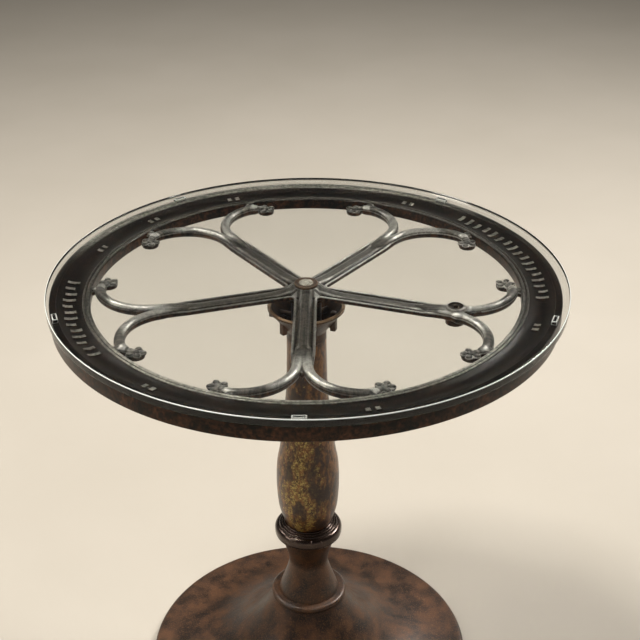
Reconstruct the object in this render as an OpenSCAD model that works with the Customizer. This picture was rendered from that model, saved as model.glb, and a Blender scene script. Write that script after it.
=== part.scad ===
// Pedestal dining table: an old five-armed cast mill wheel lies flat on a
// turned cast column, and a loose round glass plate lies on pads on its rim.
// The origin is on the floor, on the column's axis. The front arm points to -Y.

/* [Table] */
// Height of the glass's upper face above the floor
table_h = 762; // [740:1:900]

/* [Glass top] */
// Thickness of the glass plate
glass_t = 12.7; // [8:0.1:19]
// How far the glass reaches past the wheel's rim
glass_overhang = 7.9; // [2:0.1:30]
// Radius ground on both edges of the glass
glass_arris = 1.5; // [0.5:0.1:3]
// How far the loose glass lies off the wheel's axis to the right
glass_shift_x = 3; // [-6:0.1:6]
// How far the loose glass lies off the wheel's axis, minus is to the front
glass_shift_y = -3; // [-6:0.1:6]

/* [Glass pads] */
// Width of a pad along the rim
pad_w = 21; // [10:0.5:40]
// Depth of a pad across the lip
pad_d = 8.5; // [6:0.5:8.5]
// Thickness of a pad
pad_t = 6; // [5:0.1:12]
// Air that is left between a pad and the glass
pad_clearance = 0.05; // [0.05:0.05:0.3]

/* [Wheel rim] */
// Outside diameter of the wheel
wheel_d = 797; // [760:1:900]
// Radial width of the rim
rim_w = 62.5; // [58:0.5:70]
// Height of the rim's outer wall
rim_outer_h = 24.5; // [22:0.5:40]
// Height of the rim's inner wall, below its bead
rim_inner_h = 15; // [14:0.5:20]
// Width of the flat lip round the outside of the rim
lip_w = 11; // [9:0.5:16]
// How far the inner bead's crest lies below the lip
bead_drop = 3.1; // [1:0.1:6]
// Width of the large bead round the inside of the rim
bead_w = 7.5; // [6:0.5:10]
// Width of the small bead beside it
small_bead_w = 4.5; // [3:0.5:7]
// Depth of the rim's trough below the beads
trough_depth = 4.5; // [2:0.1:5]
// Thickness of the rim's plate under the trough
rim_plate_t = 8; // [5:0.5:8]
// Thickness of the outer wall
rim_outer_wall = 9; // [6:0.5:12]
// Thickness of the inner wall
rim_inner_wall = 10; // [6:0.5:14]

/* [Raised marks on the rim] */
// How far the marks stand out of the trough
mark_h = 2; // [1:0.1:3]
// Marks in the group on the left
left_marks = 13; // [3:1:16]
// Marks in the group on the right
right_marks = 17; // [3:1:20]
// Angle from one mark to the next
mark_pitch = 3.1; // [2.5:0.1:3.5]
// Angle that one mark covers
mark_angle = 1.1; // [0.8:0.1:2]

/* [Wheel arms] */
// Width of an arm
arm_w = 36; // [28:0.5:40]
// How far the arm's upper face lies below the tops of the branches
arm_drop = 5.5; // [2:0.5:6.5]
// Thickness of the arm's flange
arm_flange_t = 7; // [6:0.5:12]
// Depth of the web under the arm
arm_web_h = 6; // [4:0.5:14]
// Thickness of the web under the arm
arm_web_t = 12; // [8:0.5:16]
// Width of the raised bead along each edge of the arm
arm_bead_w = 4; // [2:0.5:5]
// Depth of the hollows beside the arm's rounded rib
arm_cove = 2.5; // [1:0.1:3.5]
// Radius of the round branches at the arm's end
branch_r = 8.5; // [7:0.1:10]
// Length over which a branch rises out of the arm before it bends away
branch_run = 46; // [20:1:60]
// Bend radius of a branch where it leaves the arm
branch_bend = 79; // [65:0.5:90]
// Bend radius of a branch where it curls back along the rim
curl_bend = 34; // [30:0.5:38]
// Gap between the curl and the rim, which a short stub crosses
curl_gap = 4; // [0:0.5:6]
// Angle round the curl at which the branch ends in its flower
curl_angle = 61; // [50:1:70]
// Radius of the branch's thin neck behind the flower
stalk_r = 6.2; // [4:0.1:6.8]

/* [Flowers] */
// Radius of a flower
flower_r = 13.5; // [10:0.1:15]
// Thickness of a flower
flower_t = 9; // [6:0.1:12]

/* [Handle boss] */
// Radius of the boss on the right arm
boss_r = 15; // [12:0.5:18]
// Height of the boss
boss_h = 29; // [20:0.5:32]
// Radius of the hole for a crank handle
boss_hole_r = 4; // [3:0.1:6]
// How far the boss lies past the point where the branches part
boss_ahead = 9; // [4:0.5:14]
// How far the boss lies to the back side of its arm
boss_aside = 3; // [0:0.5:5]

/* [Wheel hub] */
// Radius of the fillets between the arms
hub_fillet = 6; // [3:0.5:10]
// Radius of the hub's boss inside the cup
hub_boss_r = 24; // [18:0.5:25]
// Radius of the raised disc round the shaft
hub_disc_r = 25.5; // [20:0.5:26]
// How far that disc stands above the arms
hub_rise = 7.5; // [3:0.5:9]

/* [Centre shaft] */
// Diameter of the shaft through the wheel and the column
shaft_d = 22; // [16:0.5:24]
// Clearance round the shaft in its bores
shaft_clearance = 0.1; // [0.05:0.01:0.3]
// Outside diameter of the ring round the shaft's end
ring_d = 37; // [30:0.5:40]
// Height of that ring
ring_h = 4; // [3:0.1:5]
// Size of the nut under the foot, across its flats
nut_af = 36; // [32:1:42]
// Height of that nut
nut_h = 18; // [12:0.5:20]
// Diameter of the washer above the nut
washer_d = 56; // [44:1:58]
// Thickness of that washer
washer_t = 4; // [2:0.5:5]

/* [Cup on the column] */
// Radius of the cup's lip
cup_r = 61.7; // [56:0.1:68]
// Width of the cup's lip
cup_lip_w = 6; // [4:0.1:8]
// Height of the cup's lip
cup_lip_h = 4.5; // [4:0.1:10]
// Gap between the cup's lip and the arms' webs
cup_gap = 15.5; // [6:0.5:20]
// Height of the cup from its floor to its lip
cup_depth = 39; // [36:0.5:50]
// Thickness of the cup's wall
cup_wall = 6; // [4:0.1:8]
// Thickness of the cup's floor
cup_floor_t = 12; // [8:0.5:16]
// Width of the three lugs under the lip
lug_w = 10; // [6:0.5:14]
// Distance of the lugs' outer face from the axis
lug_reach = 50.5; // [49:0.1:54]
// Thickness of a lug
lug_t = 9; // [7:0.5:10]

/* [Set screws] */
// Diameter of the screws that hold the wheel's boss in the cup
screw_d = 10; // [6:0.5:12]
// Size of a screw's square head
screw_head = 15; // [12:0.5:18]
// Height of a screw's head
screw_head_h = 9; // [6:0.5:12]
// Height of the screws above the cup's floor
screw_rise = 17; // [14:0.5:20]

/* [Column] */
// Radius of the column at its neck
neck_r = 32; // [30:0.1:36]
// Largest radius of the column's vase
vase_r = 53; // [48:0.1:58]
// Radius of the column's foot on the grooved ring
vase_foot_r = 38.5; // [36:0.1:42]
// Height of the column's foot above the floor
vase_foot_z = 296; // [280:1:310]
// Thickness of the column's wall
column_wall = 9; // [6:0.5:10]
// Length of the spigots that centre the pieces on each other
spigot_h = 10; // [6:0.5:14]
// Clearance round a spigot
spigot_clearance = 0.2; // [0.1:0.05:0.4]

/* [Grooved ring] */
// Largest radius of the ring under the column
collar_r = 57.6; // [54:0.1:62]
// Height of the ring
collar_h = 28; // [24:0.5:36]
// Number of ridges on the ring's upper face
ridges = 3; // [2:1:4]

/* [Base] */
// Height of the cast foot
foot_h = 150; // [130:1:160]
// Radius of the cast foot on the floor
foot_r = 280; // [240:1:320]
// Height of the foot's straight edge
foot_edge_h = 22; // [20:0.5:30]
// Thickness of the foot's wall
foot_wall = 13; // [10:0.5:15]
// Radius of the stem at its waist
stem_waist_r = 34; // [31:0.5:38]
// Radius of the stem's lower end
stem_foot_r = 52; // [46:0.5:56]

/* [Hidden] */

$fn = 96;
iron = [0.17, 0.18, 0.15];
brown_iron = [0.24, 0.2, 0.17];

// How far a cut runs past the faces that it opens
past = 1;

// The arms: how many, and where the first one points
arm_count = 5;
arm_step = 360 / arm_count;
front_angle = -90;

// Heights from the glass down to the column's neck
glass_z = table_h - glass_t;
lip_z = glass_z - pad_t;
bead_z = lip_z - bead_drop;
branch_z = bead_z - branch_r;
arm_z = bead_z - arm_drop;
arm_under_z = arm_z - arm_flange_t;
web_z = arm_under_z - arm_web_h;
hub_z = arm_z + hub_rise;
cup_z = web_z - cup_gap;
cup_floor_z = cup_z - cup_depth;
cup_root_h = 7;
neck_z = cup_floor_z - cup_floor_t - cup_root_h;

// Main radii
wheel_r = wheel_d / 2;
rim_in_r = wheel_r - rim_w;
bore_r = shaft_d / 2 + shaft_clearance;

// Points on an arc in a profile of radius and height
arc_steps = 6;
function arc(x, z, r, from, to) =
    [for (i = [0:arc_steps]) let (a = from + (to - from) * i / arc_steps) [x + r * cos(a), z + r * sin(a)]];

// The half-round top of a bead between two radii, from the outer to the inner
function bead(r_out, r_in, foot_z) = arc((r_out + r_in) / 2, foot_z, (r_out - r_in) / 2, 0, 180);

// A smooth curve through points
curve_steps = 8;
function blend(a, b, c, d, t) =
    (2 * b + (c - a) * t + (2 * a - 5 * b + 4 * c - d) * t * t + (3 * b - a - 3 * c + d) * t * t * t) / 2;
function curve(p) = let (last = len(p) - 1) concat(
    [for (i = [0:last - 1]) for (k = [0:curve_steps - 1])
        blend(p[max(i - 1, 0)], p[i], p[i + 1], p[min(i + 2, last)], k / curve_steps)],
    [p[last]]);

// The same line moved to its right-hand side, as walked from its first point
function moved_in(p, wall) = let (last = len(p) - 1)
    [for (i = [0:last])
        let (t = p[min(i + 1, last)] - p[max(i - 1, 0)])
            p[i] + wall * [t[1], -t[0]] / norm(t)];

function backwards(p) = [for (i = [len(p) - 1:-1:0]) p[i]];

// Turns a profile of radius and height points about the axis
module turned(points) {
    rotate_extrude()
        polygon(points);
}

module ring(outer, inner, height) {
    difference() {
        cylinder(r = outer, h = height);
        translate([0, 0, -past])
            cylinder(r = inner, h = height + 2 * past);
    }
}

// Round plate with both edges ground round
module glass_top() {
    arris_r = wheel_r + glass_overhang - glass_arris;
    color("lightcyan", 0.35)
        translate([glass_shift_x, glass_shift_y, glass_z])
            turned(concat([[0, 0]],
                arc(arris_r, glass_arris, glass_arris, -90, 0),
                arc(arris_r, glass_t - glass_arris, glass_arris, 0, 90),
                [[0, glass_t]]));
}

// One clear pad on the lip over the end of each arm
module glass_pads() {
    color("white")
        for (i = [0:arm_count - 1])
            rotate([0, 0, front_angle + arm_step * i])
                translate([wheel_r - lip_w / 2, 0, lip_z + (pad_t - pad_clearance) / 2])
                    cube([pad_d, pad_w, pad_t - pad_clearance], center = true);
}

// The trough sinks in a smooth curve from the lip to the small bead
lip_corner = 1.2;
trough_steps = 16;
trough_out = [wheel_r - lip_w, lip_z - lip_corner];
trough_in = [rim_in_r + bead_w + small_bead_w, bead_z - small_bead_w / 2];
function trough(i) = let (t = i / trough_steps)
    trough_out + (trough_in - trough_out) * t - [0, trough_depth * sin(180 * t)];

// Rim with a flat lip, a trough and two beads, open underneath
module wheel_rim() {
    under_z = lip_z - rim_outer_h;
    bead_foot_z = bead_z - bead_w / 2;
    inner_z = bead_foot_z - rim_inner_h;
    plate_z = trough(trough_steps / 2)[1] - rim_plate_t;
    color(iron)
        turned(concat([[wheel_r, under_z]],
            arc(wheel_r - lip_corner, lip_z - lip_corner, lip_corner, 0, 90),
            [[trough_out[0] + lip_corner, lip_z]],
            [for (i = [0:trough_steps]) trough(i)],
            bead(trough_in[0], rim_in_r + bead_w, trough_in[1]),
            bead(rim_in_r + bead_w, rim_in_r, bead_foot_z),
            [[rim_in_r, inner_z], [rim_in_r + rim_inner_wall, inner_z],
             [rim_in_r + rim_inner_wall, plate_z], [wheel_r - rim_outer_wall, plate_z],
             [wheel_r - rim_outer_wall, under_z]]));
}

// Where the two groups of marks start, and where the small pairs are
left_start = 178;
right_start = -5;
pair_angles = [62, 112, 137, 158, 235, 285.6, 340];

// One raised mark: a bar across the trough that follows its curve
module mark(angle, from_step, to_step) {
    line = [for (i = [from_step:to_step]) trough(i)];
    rotate([0, 0, angle - mark_angle / 2])
        rotate_extrude(angle = mark_angle)
            polygon(concat(line, [for (p = backwards(line)) p + [0, mark_h]]));
}

// A group of bars, long and short in turn
module mark_group(start, count) {
    for (i = [0:count - 1])
        mark(start + mark_pitch * i, i % 3 == 2 ? 5 : 4, i % 3 == 1 ? 10 : 12);
}

// Plain raised bars in two groups, and small pairs between them
module rim_marks() {
    color([0.3, 0.31, 0.28]) {
        mark_group(left_start, left_marks);
        mark_group(right_start, right_marks);
        for (a = pair_angles)
            for (side = [-1, 1])
                mark(a + side * mark_angle, 6, 10);
    }
}

// An arm's upper face: a bead at each edge, a flat strip beside it and a wide
// rounded rib between the strips
arm_points = 36;
strip_w = 2.5;
rib_half = arm_w / 2 - arm_bead_w - strip_w;
function arm_top(y) = let (from_edge = arm_w / 2 - abs(y))
    abs(y) < rib_half ? -arm_cove * (1 - cos(180 * y / rib_half)) / 2
    : from_edge < arm_bead_w ? -arm_cove * (1 - sin(180 * from_edge / arm_bead_w))
    : -arm_cove;

// An arm's cross-section: the flange and the web under it
module arm_section() {
    half = arm_w / 2;
    web = arm_web_t / 2;
    web_foot = -arm_flange_t - arm_web_h;
    polygon(concat(
        [for (i = [0:arm_points]) let (y = arm_w * i / arm_points - half) [y, arm_top(y)]],
        [[half, -arm_flange_t], [web, -arm_flange_t], [web, web_foot],
         [-web, web_foot], [-web, -arm_flange_t], [-half, -arm_flange_t]]));
}

// The curl at a branch's end lies beside the rim, and the wide bend leaves the
// arm with the two branches side by side, run a little into each other
branch_lap = 1;
branch_y = branch_r - branch_lap;
curl_y = branch_bend + branch_y;
curl_reach = rim_in_r - curl_gap - branch_r - curl_bend;
curl_x = sqrt(curl_reach * curl_reach - curl_y * curl_y);
curl_touch = atan2(curl_y, curl_x);
split_x = curl_x + curl_bend - branch_bend;
arm_tail = 8;
arm_taper = 40;
stub_step = 1.5;
branch_root_x = split_x - branch_run;
arm_end_x = split_x + arm_tail;
stub_r = branch_r - stub_step;

// Angles round the curl: where the stalk starts, and where it has its collar
stalk_angle = curl_angle - 22;
collar_from = stalk_angle + 6;
collar_to = collar_from + 5;
stalk_collar = 1.3;

// A piece of round bar bent about a centre, from one angle to another
module bent_bar(x, y, bend, from, to, r) {
    translate([x, y, branch_z])
        rotate([0, 0, from])
            rotate_extrude(angle = to - from)
                translate([bend, 0])
                    circle(r = r, $fn = 32);
}

// Five petals round a centre on a round plate
petals = 5;
petal_rise = 1;
heart_rise = 3;
plate_step = 1.5;
plate_drop = 2;
module flower() {
    petal_r = flower_r * 0.38;
    translate([0, 0, branch_z - flower_t / 2]) {
        cylinder(r = flower_r - plate_step, h = flower_t - plate_drop, $fn = 48);
        for (i = [0:petals - 1])
            rotate([0, 0, 360 / petals * i])
                translate([flower_r - petal_r, 0, petal_rise])
                    cylinder(r = petal_r, h = flower_t, $fn = 32);
        cylinder(r = flower_r * 0.28, h = flower_t + heart_rise, $fn = 32);
    }
}

// One branch: out of the arm, round the wide bend, and back in the curl
module branch() {
    translate([branch_root_x, branch_y, branch_z])
        rotate([0, 90, 0])
            cylinder(r1 = branch_r - arm_drop, r2 = branch_r, h = branch_run, $fn = 32);
    bent_bar(split_x, curl_y, branch_bend, -90, 0, branch_r);
    bent_bar(curl_x, curl_y, curl_bend, 0, stalk_angle, branch_r);
    bent_bar(curl_x, curl_y, curl_bend, stalk_angle - 1, curl_angle, stalk_r);
    bent_bar(curl_x, curl_y, curl_bend, collar_from, collar_to, stalk_r + stalk_collar);
    translate([curl_x + curl_bend * cos(curl_angle), curl_y + curl_bend * sin(curl_angle), 0])
        flower();

    // The stub that joins the curl to the rim
    rotate([0, 0, curl_touch])
        translate([curl_reach + curl_bend, 0, branch_z])
            rotate([0, 90, 0])
                cylinder(r = stub_r, h = branch_r + curl_gap + past, $fn = 32);
}

// The straight part of an arm, whose end narrows to lie within the branches
module arm_bar() {
    side = arm_w / 2 + past;
    end = branch_y + branch_r - past;
    intersection() {
        translate([hub_r / 2, 0, arm_z])
            rotate([90, 0, 90])
                linear_extrude(height = arm_end_x - hub_r / 2)
                    arm_section();
        translate([0, 0, web_z - past])
            linear_extrude(height = arm_z - web_z + 2 * past)
                polygon([[0, -side], [arm_end_x - arm_taper, -side], [arm_end_x + past, -end],
                    [arm_end_x + past, end], [arm_end_x - arm_taper, side], [0, side]]);
    }
}

// An arm with its two branches, from the hub's side to the rim's inner wall
module arm() {
    difference() {
        union() {
            arm_bar();
            branch();
            mirror([0, 1, 0])
                branch();
        }
        translate([0, 0, web_z - past]) {
            cylinder(r = hub_r, h = hub_z - web_z + 2 * past);
            ring(wheel_r, rim_in_r, hub_z - web_z + 2 * past);
        }
    }
}

module placed_arm(i) {
    color(iron)
        rotate([0, 0, front_angle + arm_step * i])
            arm();
}

module wheel_arm_front() {
    placed_arm(0);
}

// The right arm carries the boss with the hole for a crank handle
boss_rise = 3.5;
boss_face_t = 2;
boss_edge = 4;
module wheel_arm_right() {
    top_z = bead_z + boss_rise;
    color(iron)
        rotate([0, 0, front_angle + arm_step])
            difference() {
                union() {
                    arm();
                    translate([split_x + boss_ahead, boss_aside, top_z - boss_h])
                        cylinder(r = boss_r, h = boss_h, $fn = 64);
                }
                translate([split_x + boss_ahead, boss_aside, 0]) {
                    translate([0, 0, top_z - boss_face_t])
                        cylinder(r = boss_r - boss_edge, h = boss_face_t + past, $fn = 64);
                    translate([0, 0, top_z - boss_h - past])
                        cylinder(r = boss_hole_r, h = boss_h, $fn = 48);
                }
            }
}

module wheel_arm_back_right() {
    placed_arm(2);
}

module wheel_arm_back_left() {
    placed_arm(3);
}

module wheel_arm_left() {
    placed_arm(4);
}

// The corner between two arms, seen from above, with its rounded edge
module fillet_plan() {
    half = arm_step / 2;
    side = arm_w / 2;
    centre = [(side + hub_fillet) / sin(half), 0];
    along = (side + hub_fillet) / tan(half);
    touch_x = along * cos(half) + side * sin(half);
    touch_y = along * sin(half) - side * cos(half);
    difference() {
        polygon([[side / sin(half), 0], [touch_x, -touch_y], centre, [touch_x, touch_y]]);
        translate(centre)
            circle(r = hub_fillet, $fn = 48);
    }
}

// Hub with a raised disc, fillets between the arms and a boss that stands in the cup
hub_r = arm_w / 2 / sin(arm_step / 2) + hub_fillet / 2;
module wheel_hub() {
    color(iron)
        difference() {
            union() {
                turned([[0, web_z], [hub_r, web_z], [hub_r, arm_z], [hub_disc_r, hub_z], [0, hub_z]]);
                translate([0, 0, cup_floor_z])
                    cylinder(r = hub_boss_r, h = web_z - cup_floor_z + past);
                for (i = [0:arm_count - 1])
                    rotate([0, 0, front_angle + arm_step * (i + 0.5)])
                        translate([0, 0, arm_under_z])
                            linear_extrude(height = arm_flange_t - arm_cove)
                                fillet_plan();
            }
            translate([0, 0, cup_floor_z - past])
                cylinder(r = bore_r, h = hub_z - cup_floor_z + 2 * past);
        }
}

// Plain ring shrunk on the shaft's end
module shaft_ring() {
    color([0.3, 0.28, 0.22])
        translate([0, 0, hub_z])
            ring(ring_d / 2, shaft_d / 2, ring_h);
}

// Heights under the foot: the boss's face, the nut and the shaft's end
nut_z = 18;
washer_z = nut_z + nut_h;
foot_boss_z = washer_z + washer_t;
shaft_past_nut = 8;
shaft_foot_z = nut_z - shaft_past_nut;

// Bright shaft from the wheel's face down through the nut under the foot
module centre_shaft() {
    proud = 0.5;
    top_z = hub_z + ring_h + proud;
    top_chamfer = 0.5;
    foot_chamfer = 1.5;
    shaft_r = shaft_d / 2;
    color("silver")
        turned([[0, shaft_foot_z], [shaft_r - foot_chamfer, shaft_foot_z],
            [shaft_r, shaft_foot_z + foot_chamfer], [shaft_r, top_z - top_chamfer],
            [shaft_r - top_chamfer, top_z], [0, top_z]]);
}

// The cup's cone, from its root above the neck up to the lip
lip_ledge = 2.5;
cone_drop = 3;
cone_top_z = cup_z - cup_lip_h;
cone_foot_z = cup_floor_z - cone_drop;
cone_top_r = cup_r - lip_ledge;
function cone_r(z) = neck_r + (cone_top_r - neck_r) * (z - cone_foot_z) / (cone_top_z - cone_foot_z);

// The spigots that centre the pieces of the column on each other
neck_bore_r = neck_r - column_wall;
neck_spigot_r = neck_bore_r - spigot_clearance;
foot_spigot_r = vase_foot_r - column_wall - spigot_clearance;

// Flared cup with three lugs and a floor that the wheel's boss stands on
lug_angles = [100, 220, 340];
screw_angles = [40, 160, 280];
module column_cup() {
    lip_edge = 1;
    lip_in_r = cup_r - cup_lip_w;
    lug_rise = 2;
    lug_z = cup_floor_z + lug_rise;
    color([0.36, 0.24, 0.17])
        difference() {
            union() {
                turned([[0, neck_z], [neck_r, neck_z], [neck_r, cone_foot_z], [cone_top_r, cone_top_z],
                    [cup_r, cone_top_z], [cup_r, cup_z - lip_edge], [cup_r - lip_edge, cup_z], [0, cup_z]]);
                translate([0, 0, neck_z - spigot_h])
                    cylinder(r = neck_spigot_r, h = spigot_h + past);
                for (a = lug_angles)
                    rotate([0, 0, a])
                        translate([lug_reach - lug_t, -lug_w / 2, lug_z])
                            cube([lug_t, lug_w, cone_top_z - lug_z + past]);
            }
            turned([[0, cup_floor_z], [cone_r(cup_floor_z) - cup_wall, cup_floor_z],
                [cone_top_r - cup_wall, cone_top_z], [lip_in_r, cup_z - 2 * lip_edge],
                [lip_in_r, cup_z + past], [0, cup_z + past]]);
            translate([0, 0, neck_z - spigot_h - past])
                cylinder(r = bore_r, h = cup_floor_z - neck_z + spigot_h + 2 * past);
            for (a = screw_angles)
                rotate([0, 0, a])
                    translate([hub_boss_r, 0, cup_floor_z + screw_rise])
                        rotate([0, 90, 0])
                            cylinder(r = screw_d / 2 + shaft_clearance, h = cup_r, $fn = 48);
        }
}

// Square-headed screws through the cup's wall against the wheel's boss
module cup_screws() {
    shank = cone_r(cup_floor_z + screw_rise + screw_head / 2) + past - hub_boss_r;
    color("dimgray")
        for (a = screw_angles)
            rotate([0, 0, a])
                translate([hub_boss_r, 0, cup_floor_z + screw_rise])
                    rotate([0, 90, 0]) {
                        cylinder(r = screw_d / 2, h = shank, $fn = 48);
                        translate([0, 0, shank + screw_head_h / 2])
                            cube([screw_head, screw_head, screw_head_h], center = true);
                    }
}

// The column's outline: places are parts of its height, down from the neck
column_h = neck_z - vase_foot_z;
function column_point(r, part) = [r, neck_z - column_h * part];
column_line = curve([
    column_point(neck_r, 0),
    column_point(neck_r + 0.5, 0.12),
    column_point(neck_r + 3, 0.3),
    column_point(vase_r - 7.5, 0.55),
    column_point(vase_r - 1.5, 0.655),
    column_point(vase_r, 0.765),
    column_point(vase_r - 2.4, 0.88),
    column_point(vase_r - 7.4, 0.945),
    column_point(vase_foot_r, 1)]);

// Hollow column: slim neck, full vase and a drawn-in foot
module column_vase() {
    color([0.42, 0.3, 0.14])
        turned(concat(column_line, [for (p = backwards(column_line)) p - [column_wall, 0]]));
}

// Bush that centres the shaft in the neck, under the cup's spigot
module upper_bush() {
    bush_h = 24;
    color([0.5, 0.42, 0.25])
        translate([0, 0, neck_z - spigot_h - bush_h])
            ring(neck_spigot_r, bore_r, bush_h);
}

// The ring's rounded edge and the slope of its upper face
collar_z = vase_foot_z - collar_h;
collar_round = 8;
collar_fall = 6;

// Polished ring with ridges, between the column and the stem
module grooved_ring() {
    edge_r = collar_r - collar_round;
    step = (edge_r - vase_foot_r) / ridges;
    color([0.2, 0.16, 0.14])
        difference() {
            union() {
                turned(concat([[0, collar_z]],
                    arc(edge_r, collar_z + collar_round, collar_round, -90, 0),
                    arc(edge_r, vase_foot_z - collar_fall - collar_round, collar_round, 0, 90),
                    [[vase_foot_r, vase_foot_z], [0, vase_foot_z]]));
                for (i = [0:ridges - 1])
                    translate([0, 0, vase_foot_z - collar_fall * (i + 0.5) / ridges])
                        rotate_extrude()
                            translate([vase_foot_r + step * (i + 0.5), 0])
                                circle(r = step / 2, $fn = 24);
                translate([0, 0, vase_foot_z - past])
                    cylinder(r = foot_spigot_r, h = spigot_h + past);
            }
            translate([0, 0, collar_z - past])
                cylinder(r = bore_r, h = collar_h + spigot_h + 2 * past);
        }
}

// The stem's outline: places are parts of its height, down from the ring
stem_h = collar_z - foot_h;
stem_ledge = 12;
stem_r = collar_r - stem_ledge;
stem_bore_r = stem_waist_r - column_wall;
function stem_point(r, part) = [r, collar_z - stem_h * part];

// Waisted stem between the grooved ring and the foot
module base_stem() {
    color(brown_iron)
        turned(concat(
            curve([
                stem_point(stem_r, 0),
                stem_point(stem_r - 2, 0.1),
                stem_point(stem_waist_r, 0.42),
                stem_point(stem_waist_r + 3, 0.62),
                stem_point(stem_foot_r - 3, 0.92),
                stem_point(stem_foot_r, 1)]),
            [stem_point(stem_bore_r, 1), stem_point(stem_bore_r, 0)]));
}

// Bush that centres the shaft in the stem, standing on the foot
module lower_bush() {
    bush_h = 30;
    color([0.5, 0.42, 0.25])
        translate([0, 0, foot_h])
            ring(stem_bore_r - spigot_clearance, bore_r, bush_h);
}

// The foot's skirt falls from the neck in a curve that flattens to the edge
skirt_steps = 20;
foot_bead_r = 6;
foot_round = 6;
foot_neck = [stem_foot_r + 8, foot_h - 2 * foot_bead_r];
foot_edge = [foot_r - foot_round, foot_edge_h];
skirt = [for (i = [0:skirt_steps]) let (t = i / skirt_steps)
    [foot_neck[0] + (foot_edge[0] - foot_neck[0]) * t,
     foot_edge[1] + (foot_neck[1] - foot_edge[1]) * pow(1 - t, 3)]];
foot_boss_r = washer_d / 2 + 1;

// Bell-shaped cast foot, hollow underneath, with a long boss for the shaft
module base_foot() {
    inner_r = foot_r - foot_wall;
    inner = [for (p = moved_in(skirt, foot_wall)) if (p[0] < inner_r) p];
    floor_edge = 2;
    color(brown_iron)
        difference() {
            turned(concat([[0, foot_h]],
                arc(foot_neck[0], foot_h - foot_bead_r, foot_bead_r, 90, -90),
                skirt,
                arc(foot_edge[0], foot_edge_h - foot_round, foot_round, 90, 0),
                [[foot_r, floor_edge], [foot_r - floor_edge, 0], [inner_r, 0],
                 [inner_r, foot_edge_h - foot_wall]],
                backwards(inner),
                [[foot_boss_r, inner[0][1]], [foot_boss_r, foot_boss_z], [0, foot_boss_z]]));
            translate([0, 0, foot_boss_z - past])
                cylinder(r = bore_r, h = foot_h);
        }
}

// Washer under the foot's boss
module foot_washer() {
    color("gray")
        translate([0, 0, washer_z])
            ring(washer_d / 2, bore_r, washer_t);
}

// Hexagon nut on the shaft's end
module foot_nut() {
    color("gray")
        translate([0, 0, nut_z])
            difference() {
                cylinder(r = nut_af / 2 / cos(30), h = nut_h, $fn = 6);
                translate([0, 0, -past])
                    cylinder(r = shaft_d / 2, h = nut_h + 2 * past);
            }
}

glass_top();
glass_pads();
wheel_rim();
rim_marks();
wheel_hub();
wheel_arm_front();
wheel_arm_right();
wheel_arm_back_right();
wheel_arm_back_left();
wheel_arm_left();
shaft_ring();
centre_shaft();
column_cup();
cup_screws();
column_vase();
upper_bush();
grooved_ring();
base_stem();
lower_bush();
base_foot();
foot_washer();
foot_nut();
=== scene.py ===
"""A round dining table: an old cast-iron mill wheel on a turned column, under a loose glass plate."""
from functools import partial
from math import atan2, cos, hypot, pi, radians, sin, sqrt, tan

import bmesh
import bpy
from bmesh.types import BMEdge, BMFace, BMVert
from mathutils import Matrix, Vector


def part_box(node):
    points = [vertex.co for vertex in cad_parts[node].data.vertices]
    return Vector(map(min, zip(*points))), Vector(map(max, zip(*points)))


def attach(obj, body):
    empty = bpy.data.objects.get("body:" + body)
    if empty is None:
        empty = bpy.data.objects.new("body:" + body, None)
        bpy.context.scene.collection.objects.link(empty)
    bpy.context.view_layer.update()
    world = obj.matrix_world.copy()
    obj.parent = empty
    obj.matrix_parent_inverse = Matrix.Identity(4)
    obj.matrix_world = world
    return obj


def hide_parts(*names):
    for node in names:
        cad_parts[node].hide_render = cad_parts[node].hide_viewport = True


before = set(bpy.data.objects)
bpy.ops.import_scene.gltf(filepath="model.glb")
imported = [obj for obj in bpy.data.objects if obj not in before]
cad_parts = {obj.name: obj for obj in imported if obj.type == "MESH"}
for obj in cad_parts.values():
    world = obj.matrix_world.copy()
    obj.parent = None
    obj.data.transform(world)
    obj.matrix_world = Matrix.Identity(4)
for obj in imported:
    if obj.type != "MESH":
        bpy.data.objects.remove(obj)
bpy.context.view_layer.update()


# THE CAST FOOT
# A bell-shaped iron casting, 560 mm across and hollow underneath, with a long boss for the shaft.
# It is sand-cast, turned at its neck and left to go brown, and the whole column stands on it.

MM = 0.001


def cad_mm(node):
    """The lowest and highest corner of a CAD node, in millimetres."""
    low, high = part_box(node)
    return low / MM, high / MM


def arc(r, z, bend, start, end, steps=8):
    """Points of radius and height on an arc, between two angles in degrees."""
    angles = [radians(start + (end - start) * i / steps) for i in range(steps + 1)]
    return [(r + bend * cos(a), z + bend * sin(a)) for a in angles]


def moved_in(line, wall):
    """The same line, moved to its right-hand side as walked from its first point."""
    moved = []
    for i, point in enumerate(line):
        along = Vector(line[min(i + 1, len(line) - 1)]) - Vector(line[max(i - 1, 0)])
        along.normalize()
        moved.append((point[0] + wall * along.y, point[1] - wall * along.x))
    return moved


def turned(profile, steps=256):
    """A closed profile of radius and height points, turned about the Z axis."""
    bm = bmesh.new()
    verts = [bm.verts.new((r, 0, z)) for r, z in profile]
    edges = [bm.edges.new(pair) for pair in zip(verts, verts[1:] + verts[:1])]
    bmesh.ops.spin(bm, geom=verts + edges, axis=(0, 0, 1), angle=2 * pi, steps=steps, use_merge=True)
    bmesh.ops.remove_doubles(bm, verts=bm.verts, dist=0.001)
    bmesh.ops.dissolve_degenerate(bm, edges=bm.edges, dist=0.001)
    bmesh.ops.recalc_face_normals(bm, faces=bm.faces)
    return bm


def in_scene(name, data):
    """A new object in the scene."""
    made = bpy.data.objects.new(name, data)
    bpy.context.scene.collection.objects.link(made)
    return made


def new_object(name, bm):
    """An object of a bmesh, which is used up."""
    mesh = bpy.data.meshes.new(name)
    bm.to_mesh(mesh)
    bm.free()
    return in_scene(name, mesh)


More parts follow.
